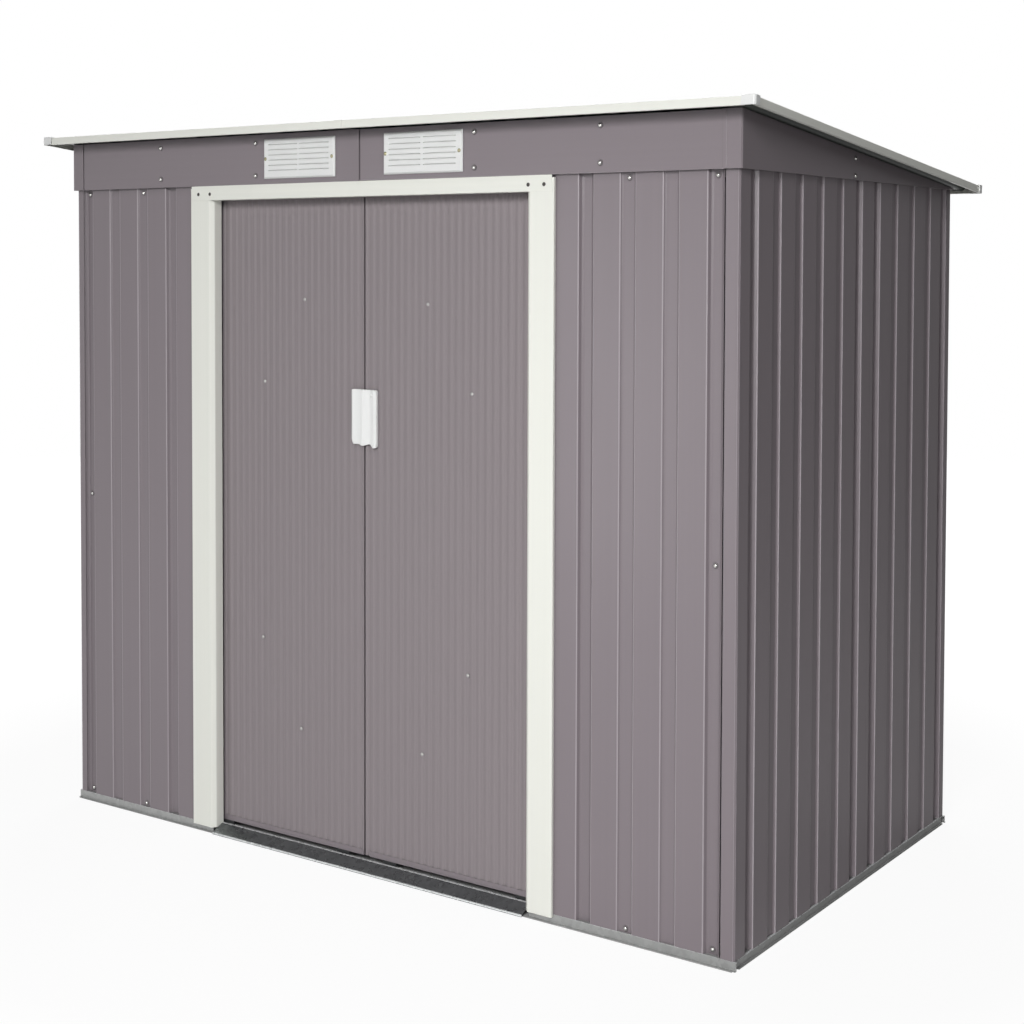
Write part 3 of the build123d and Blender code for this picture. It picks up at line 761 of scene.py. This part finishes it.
    def washer(self, tree: bpy.types.GeometryNodeTree,
               given: bpy.types.bpy_prop_collection) -> bpy.types.NodeSocket:
        """Make the washer and mark its faces, which take their own finish.

        Args:
            tree: The tree to work in.
            given: The outputs of the tree's input node.

        Returns:
            The washer's geometry.
        """
        rim = add_node(tree, "ShaderNodeMath", {"operation": "MULTIPLY", 1: self.rim_share},
                       {0: given["Washer Radius"]})
        ring = add_node(tree, "GeometryNodeMeshCone", {"Vertices": self.washer_segments}, {
            "Radius Top": rim.outputs[0], "Radius Bottom": given["Washer Radius"],
            "Depth": given["Washer Thickness"]})
        marked = add_node(tree, "GeometryNodeStoreNamedAttribute", {
            "data_type": "BOOLEAN", "domain": "FACE", "Name": "washer", "Value": True,
        }, {"Geometry": ring.outputs["Mesh"]})
        return marked.outputs["Geometry"]


@dataclass(frozen=True)
class Fastener:
    """The sizes of one kind of screw or rivet, in millimetres."""

    head_radius_mm: float
    head_height_mm: float
    washer_radius_mm: float
    washer_thickness_mm: float
    recess_width_mm: float


SHEET_SCREW = Fastener(head_radius_mm=4.2, head_height_mm=2.6, washer_radius_mm=7.0,
                       washer_thickness_mm=1.6, recess_width_mm=1.1)
SMALL_SCREW = Fastener(head_radius_mm=3.6, head_height_mm=2.0, washer_radius_mm=4.6,
                       washer_thickness_mm=0.4, recess_width_mm=0.9)
DOOR_RIVET = Fastener(head_radius_mm=4.0, head_height_mm=1.5, washer_radius_mm=4.4,
                      washer_thickness_mm=0.3, recess_width_mm=1.0)

Place = tuple[Vector, Vector]


@dataclass
class FastenerRow:
    """A group of like fasteners on one body."""

    name: str
    body: Body
    slot: Slot
    size: Fastener
    places: list[Place]
    crisp_angle: float = math.radians(35)

    def build(self, tree: bpy.types.GeometryNodeTree, head: bpy.types.Material,
              washer: bpy.types.Material) -> bpy.types.Object:
        """Set the fasteners at their places and keep them as one plain mesh.

        Args:
            tree: The fastener tree.
            head: The finish of the heads.
            washer: The finish of the washers.

        Returns:
            The finished piece.
        """
        points = bpy.data.meshes.new(f"{self.name}_points")
        points.from_pydata([tuple(point) for point, _ in self.places], [], [])
        facing = points.attributes.new("facing", "FLOAT_VECTOR", "POINT")
        for item, (_, normal) in zip(facing.data, self.places):
            item.vector = normal
        holder = bpy.data.objects.new(f"{self.name}_points", points)
        bpy.context.scene.collection.objects.link(holder)
        modifier = holder.modifiers.new("fasteners", "NODES")
        modifier.node_group = tree
        values = {
            "Head Radius": self.size.head_radius_mm * MM,
            "Head Height": self.size.head_height_mm * MM,
            "Washer Radius": self.size.washer_radius_mm * MM,
            "Washer Thickness": self.size.washer_thickness_mm * MM,
            "Recess Width": self.size.recess_width_mm * MM,
            "Head Finish": head,
            "Washer Finish": washer,
        }
        for item in tree.interface.items_tree:
            if item.in_out == "INPUT" and item.name in values:
                modifier[item.identifier] = values[item.name]
        graph = bpy.context.evaluated_depsgraph_get()
        mesh = bpy.data.meshes.new_from_object(holder.evaluated_get(graph), depsgraph=graph)
        holder.modifiers.remove(modifier)
        bpy.data.objects.remove(holder)
        mesh.shade_smooth()
        mesh.set_sharp_from_angle(angle=self.crisp_angle)
        return keep_mesh(self.name, mesh, self.body)


@dataclass
class Fasteners:
    """Every screw and rivet of the shed, placed from the boxes of the nodes that carry them."""

    groove_depth: float = 10.0 * MM
    inner_groove_depth: float = 5.0 * MM
    edge_groove_x: tuple[float, ...] = (0.945, -0.961)
    edge_groove_z: tuple[float, ...] = (1.643, 0.836, 0.030)
    inner_groove_x: tuple[float, ...] = (0.7355, -0.749)
    inner_groove_z: tuple[float, ...] = (1.643, 0.028)
    gable_back: float = 0.546
    gable_z: tuple[float, ...] = (1.703, 1.663)
    fascia_x: tuple[float, ...] = (0.336, 0.670)
    fascia_z: tuple[float, ...] = (1.676, 1.756)
    header_x: tuple[float, ...] = (-0.535, -0.495, 0.483, 0.525)
    header_z: float = 1.634
    vent_inset: float = 7.5 * MM
    rivet_places: tuple[tuple[float, float], ...] = (
        (-0.2127, 1.371), (-0.3467, 1.164), (-0.3547, 0.517), (-0.2267, 0.303),
        (0.1709, 1.365), (0.2989, 1.161), (0.2889, 0.509), (0.1549, 0.3025), (0.462, 0.046),
    )
    handle_screw: tuple[float, float] = (0.0065, 1.1445)
    handle_screw_sink: float = 6.0 * MM

    def build(self, finishes: Finishes) -> None:
        """Build all the groups.

        Args:
            finishes: The shed's finishes.
        """
        crossed = FastenerTree("cross_head_screws", crossed=True).build()
        domed = FastenerTree("pull_rivets", crossed=False).build()
        for row in (self.wall_screws(), self.fascia_screws(), self.gable_screws()):
            row.build(crossed, finishes.screw, finishes.washer)
        self.header_screws().build(crossed, finishes.dull_screw, finishes.washer)
        self.handle_screws().build(crossed, finishes.white, finishes.white)
        self.vent_screws().build(crossed, finishes.passivated, finishes.passivated)
        for row in self.door_rivets():
            row.build(domed, finishes.rivet, finishes.rivet)

    def wall_screws(self) -> FastenerRow:
        """Screws in the floors of the front sheets' grooves, over the rails behind."""
        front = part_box("front_right_panel")[0].y
        out = Vector((0, -1, 0))
        deep = front + self.groove_depth
        shallow = front + self.inner_groove_depth
        places = [(Vector((x, deep, z)), out) for x in self.edge_groove_x for z in self.edge_groove_z]
        places += [(Vector((x, shallow, z)), out) for x in self.inner_groove_x for z in self.inner_groove_z]
        return FastenerRow("front_wall_screws", Body.SHELL, Slot.WALL, SHEET_SCREW, places)

    def fascia_screws(self) -> FastenerRow:
        """Pairs of screws along the front fascia."""
        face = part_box("front_fascia_right")[0].y
        out = Vector((0, -1, 0))
        places = [(Vector((side * x, face, z)), out)
                  for side in (-1, 1) for x in self.fascia_x for z in self.fascia_z]
        return FastenerRow("fascia_screws", Body.SHELL, Slot.WALL, SHEET_SCREW, places)

    def gable_screws(self) -> FastenerRow:
        """Pairs of screws near the middle of each gable."""
        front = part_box("front_right_panel")[0].y
        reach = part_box("right_gable")[1].x
        places = [(Vector((side * reach, front + self.gable_back, z)), Vector((side, 0, 0)))
                  for side in (-1, 1) for z in self.gable_z]
        return FastenerRow("gable_screws", Body.SHELL, Slot.WALL, SHEET_SCREW, places)

    def header_screws(self) -> FastenerRow:
        """Two small dull screws at each end of the header."""
        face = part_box("door_header")[0].y
        places = [(Vector((x, face, self.header_z)), Vector((0, -1, 0))) for x in self.header_x]
        return FastenerRow("header_screws", Body.SHELL, Slot.CREAM, SMALL_SCREW, places)

    def vent_screws(self) -> FastenerRow:
        """One screw in each end margin of the vents."""
        places = []
        for node in ("left_vent", "right_vent"):
            low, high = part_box(node)
            middle = (low.z + high.z) / 2
            for x in (low.x + self.vent_inset, high.x - self.vent_inset):
                places.append((Vector((x, low.y, middle)), Vector((0, -1, 0))))
        return FastenerRow("vent_screws", Body.SHELL, Slot.WHITE, SMALL_SCREW, places)

    def handle_screws(self) -> FastenerRow:
        """The screw that shows near the top of the right pull."""
        x, z = self.handle_screw
        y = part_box("right_door_handle")[0].y + self.handle_screw_sink
        places = [(Vector((x, y, z)), Vector((0, -1, 0)))]
        return FastenerRow("handle_screws", Body.RIGHT_LEAF, Slot.WHITE, SMALL_SCREW, places)

    def door_rivets(self) -> list[FastenerRow]:
        """Rivets that hold the braces behind each leaf."""
        rows = []
        for side, body, sign in (("left", Body.LEFT_LEAF, -1), ("right", Body.RIGHT_LEAF, 1)):
            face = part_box("left_door")[0].y
            places = [(Vector((x, face, z)), Vector((0, -1, 0)))
                      for x, z in self.rivet_places if x * sign > 0]
            rows.append(FastenerRow(f"{side}_door_rivets", body, Slot.WALL, DOOR_RIVET, places))
        return rows


@dataclass(frozen=True)
class Softbox:
    """A square lamp. A narrow spread evens its light from the top of a wall to the foot."""

    name: str
    place: tuple[float, float, float]
    aim: tuple[float, float, float]
    size: float
    watts: float
    spread: float = math.pi

    def build(self) -> None:
        """Add the lamp and turn it to its aim."""
        lamp = bpy.data.lights.new(self.name, "AREA")
        lamp.size = self.size
        lamp.energy = self.watts
        lamp.spread = self.spread
        holder = bpy.data.objects.new(self.name, lamp)
        holder.location = self.place
        holder.rotation_euler = (Vector(self.aim) - Vector(self.place)).to_track_quat("-Z", "Y").to_euler()
        bpy.context.scene.collection.objects.link(holder)
        log.info("lit %s, %g W", self.name, self.watts)


SOFTBOXES = (
    Softbox("key_softbox", place=(2.3, -6.2, 3.6), aim=(0.5, -0.5, -0.3), size=1.8, watts=66.0,
            spread=math.radians(80)),
    Softbox("near_softbox", place=(3.3, -3.3, 1.6), aim=(0.4, -0.4, 1.1), size=1.0, watts=16.0),
    Softbox("fill_softbox", place=(-1.8, -4.2, 0.9), aim=(0.4, -0.5, 0.6), size=1.7, watts=14.0),
    Softbox("back_softbox", place=(-2.4, 4.8, 2.2), aim=(-0.3, 0.5, 0.7), size=2.4, watts=90.0),
    Softbox("top_softbox", place=(-0.6, 1.2, 5.0), aim=(0.0, 0.0, 0.0), size=3.0, watts=70.0),
)


@dataclass
class Studio:
    """The pale floor, the white surround, the lamps and the camera."""

    ambient: float = 0.11
    floor_radius: float = 9.0
    floor_segments: int = 96
    floor_albedo: str = "#B4B4B4"
    floor_glow: float = 1.1
    floor_glow_near: float = 0.84
    floor_fade: tuple[float, float] = (1.5, 3.2)
    dark_way: tuple[float, float, float] = (0.9, 0.44, 0.0)
    dark_fade: tuple[float, float] = (0.0, 0.9)
    dark_level: float = 0.12
    ceiling_fade: tuple[float, float] = (0.25, 0.8)
    dark_ceiling: float = 0.35
    camera_place: tuple[float, float, float] = (2.6282, -3.6952, 1.4556)
    camera_yaw: float = 35.133
    camera_pitch: float = 2.151
    camera_roll: float = 0.168
    camera_sensor: float = 36.0
    camera_lens: float = 60.203
    camera_shift: float = -0.1777

    def build(self) -> None:
        """Build the whole studio."""
        self.build_world()
        self.build_floor()
        for softbox in SOFTBOXES:
            softbox.build()
        self.build_camera()

    def build_world(self) -> None:
        """White to the camera, a plain dim fill for the rest, and for reflections white with a dark side."""
        world = bpy.data.worlds.new("white_surround")
        world.use_nodes = True
        tree = world.node_tree
        tree.nodes.clear()
        path = add_node(tree, "ShaderNodeLightPath")
        mirrored = add_node(tree, "ShaderNodeMath", {"operation": "MAXIMUM"},
                            {0: path.outputs["Is Glossy Ray"], 1: path.outputs["Is Transmission Ray"]})
        way = add_node(tree, "ShaderNodeTexCoord").outputs["Generated"]
        height = add_node(tree, "ShaderNodeSeparateXYZ", links={0: way})
        ceiling = add_node(tree, "ShaderNodeMapRange", {
            "interpolation_type": "SMOOTHSTEP", "From Min": self.ceiling_fade[0],
            "From Max": self.ceiling_fade[1], "To Min": 1.0, "To Max": self.dark_ceiling,
        }, {"Value": height.outputs["Z"]})
        room = add_node(tree, "ShaderNodeMath", {"operation": "MULTIPLY"},
                        {0: self.dark_side(tree, way), 1: ceiling.outputs["Result"]})
        level = add_node(tree, "ShaderNodeMix", {"data_type": "FLOAT", 2: self.ambient},
                         {0: mirrored.outputs[0], 3: room.outputs[0]})
        strength = add_node(tree, "ShaderNodeMath", {"operation": "MAXIMUM"},
                            {0: level.outputs[0], 1: path.outputs["Is Camera Ray"]})
        light = add_node(tree, "ShaderNodeBackground", {"Color": (1, 1, 1, 1)},
                         {"Strength": strength.outputs[0]})
        add_node(tree, "ShaderNodeOutputWorld", links={"Surface": light.outputs[0]})
        bpy.context.scene.world = world

    def dark_side(self, tree: bpy.types.NodeTree, way: bpy.types.NodeSocket) -> bpy.types.NodeSocket:
        """Dim the room that reflections show towards the right.

        Args:
            tree: The tree to work in.
            way: A direction from the middle of the room.

        Returns:
            A socket that is one all round and falls to the dark level on the dark side.
        """
        towards = add_node(tree, "ShaderNodeVectorMath", {"operation": "DOT_PRODUCT", 1: self.dark_way},
                           {0: way})
        return add_node(tree, "ShaderNodeMapRange", {
            "interpolation_type": "SMOOTHSTEP", "From Min": self.dark_fade[0], "From Max": self.dark_fade[1],
            "To Min": 1.0, "To Max": self.dark_level,
        }, {"Value": towards.outputs["Value"]}).outputs["Result"]

    def build_floor(self) -> None:
        """A pale round floor that keeps a faint shadow, melts into the white and stays unlit in the shed."""
        shape = bmesh.new()
        bmesh.ops.create_circle(shape, cap_ends=True, segments=self.floor_segments,
                                radius=self.floor_radius)
        mesh = bpy.data.meshes.new("floor")
        shape.to_mesh(mesh)
        shape.free()
        material = bpy.data.materials.new("pale_floor")
        material.use_nodes = True
        tree = material.node_tree
        tree.nodes.clear()
        path = add_node(tree, "ShaderNodeLightPath")
        place = add_node(tree, "ShaderNodeTexCoord").outputs["Object"]
        reach = add_node(tree, "ShaderNodeVectorMath", {"operation": "LENGTH"}, {0: place})
        fade = add_node(tree, "ShaderNodeMapRange", {
            "From Min": self.floor_fade[0], "From Max": self.floor_fade[1], "To Min": self.floor_glow_near,
            "To Max": 1.0,
        }, {"Value": reach.outputs["Value"]})
        outside = self.outside_walls(tree, place)
        mirrored = add_node(tree, "ShaderNodeMath", {"operation": "MAXIMUM"},
                            {0: path.outputs["Is Glossy Ray"], 1: path.outputs["Is Transmission Ray"]})
        way = add_node(tree, "ShaderNodeVectorMath", {"operation": "NORMALIZE"}, {0: place})
        dimmed = add_node(tree, "ShaderNodeMath", {"operation": "MULTIPLY"},
                          {0: mirrored.outputs[0], 1: self.dark_side(tree, way.outputs["Vector"])})
        seen = add_node(tree, "ShaderNodeMath", {"operation": "MAXIMUM"},
                        {0: path.outputs["Is Camera Ray"], 1: dimmed.outputs[0]})
        glow = add_node(tree, "ShaderNodeMath", {"operation": "MULTIPLY"},
                        {0: fade.outputs["Result"], 1: seen.outputs[0]})
        share = add_node(tree, "ShaderNodeMath", {"operation": "MULTIPLY"}, {0: glow.outputs[0], 1: outside})
        matt = add_node(tree, "ShaderNodeBsdfDiffuse", {"Color": linear(self.floor_albedo)})
        white = add_node(tree, "ShaderNodeEmission", {"Color": (1, 1, 1, 1), "Strength": self.floor_glow})
        mix = add_node(tree, "ShaderNodeMixShader", links={
            0: share.outputs[0], 1: matt.outputs[0], 2: white.outputs[0]})
        add_node(tree, "ShaderNodeOutputMaterial", links={"Surface": mix.outputs[0]})
        mesh.materials.append(material)
        floor = bpy.data.objects.new("floor", mesh)
        bpy.context.scene.collection.objects.link(floor)

    def outside_walls(self, tree: bpy.types.NodeTree, place: bpy.types.NodeSocket) -> bpy.types.NodeSocket:
        """Tell the floor under the shed from the floor around it.

        Args:
            tree: The floor's tree.
            place: The floor's own coordinates.

        Returns:
            A socket that is one outside the walls and zero inside.
        """
        low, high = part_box("front_right_panel")[0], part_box("rear_wall_panel_1")[1]
        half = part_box("right_wall_front_panel")[1].x
        spans = {"X": half, "Y": max(-low.y, high.y)}
        axes = add_node(tree, "ShaderNodeSeparateXYZ", links={0: place})
        beyond = []
        for axis, reach in spans.items():
            size = add_node(tree, "ShaderNodeMath", {"operation": "ABSOLUTE"}, {0: axes.outputs[axis]})
            beyond.append(add_node(tree, "ShaderNodeMath", {"operation": "GREATER_THAN", 1: reach},
                                   {0: size.outputs[0]}).outputs[0])
        return add_node(tree, "ShaderNodeMath", {"operation": "MAXIMUM"},
                        {0: beyond[0], 1: beyond[1]}).outputs[0]

    def build_camera(self) -> None:
        """Set the camera at the photograph's place, turn and lens. It starts out facing down, not level."""
        data = bpy.data.cameras.new("camera")
        data.sensor_width = self.camera_sensor
        data.lens = self.camera_lens
        data.shift_y = self.camera_shift
        camera = bpy.data.objects.new("camera", data)
        turn = Matrix.Rotation(math.radians(self.camera_yaw), 4, "Z")
        turn @= Matrix.Rotation(math.radians(90 - self.camera_pitch), 4, "X")
        turn @= Matrix.Rotation(math.radians(self.camera_roll), 4, "Z")
        camera.matrix_world = Matrix.Translation(Vector(self.camera_place)) @ turn
        bpy.context.scene.collection.objects.link(camera)
        bpy.context.scene.camera = camera
        bpy.context.scene.view_settings.view_transform = "Standard"


MOULDED = ("left_vent", "right_vent", "roof_corner_caps", "left_door_handle", "right_door_handle")
FLUTED = ("left_door", "right_door")
SHARP_WORDS = ("runners", "top_rail", "mid_rails", "track", "beam", "door_frame")


def main() -> None:
    """Load the frame, dress the nodes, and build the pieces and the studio."""
    logging.basicConfig(level=logging.INFO, format="%(name)s: %(message)s")
    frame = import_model()
    finishes = Finishes()
    finishes.dress_nodes(frame)
    for node in frame["nodes"]:
        if node in MOULDED:
            MouldedFitting(node).build(frame, finishes)
        elif node in FLUTED:
            FlutedSheet(node).build(frame, finishes)
        elif not any(word in node for word in SHARP_WORDS):
            FoldedSheet(node).build(frame, finishes)
    Fasteners().build(finishes)
    Studio().build()


if __name__ == "__main__":
    main()
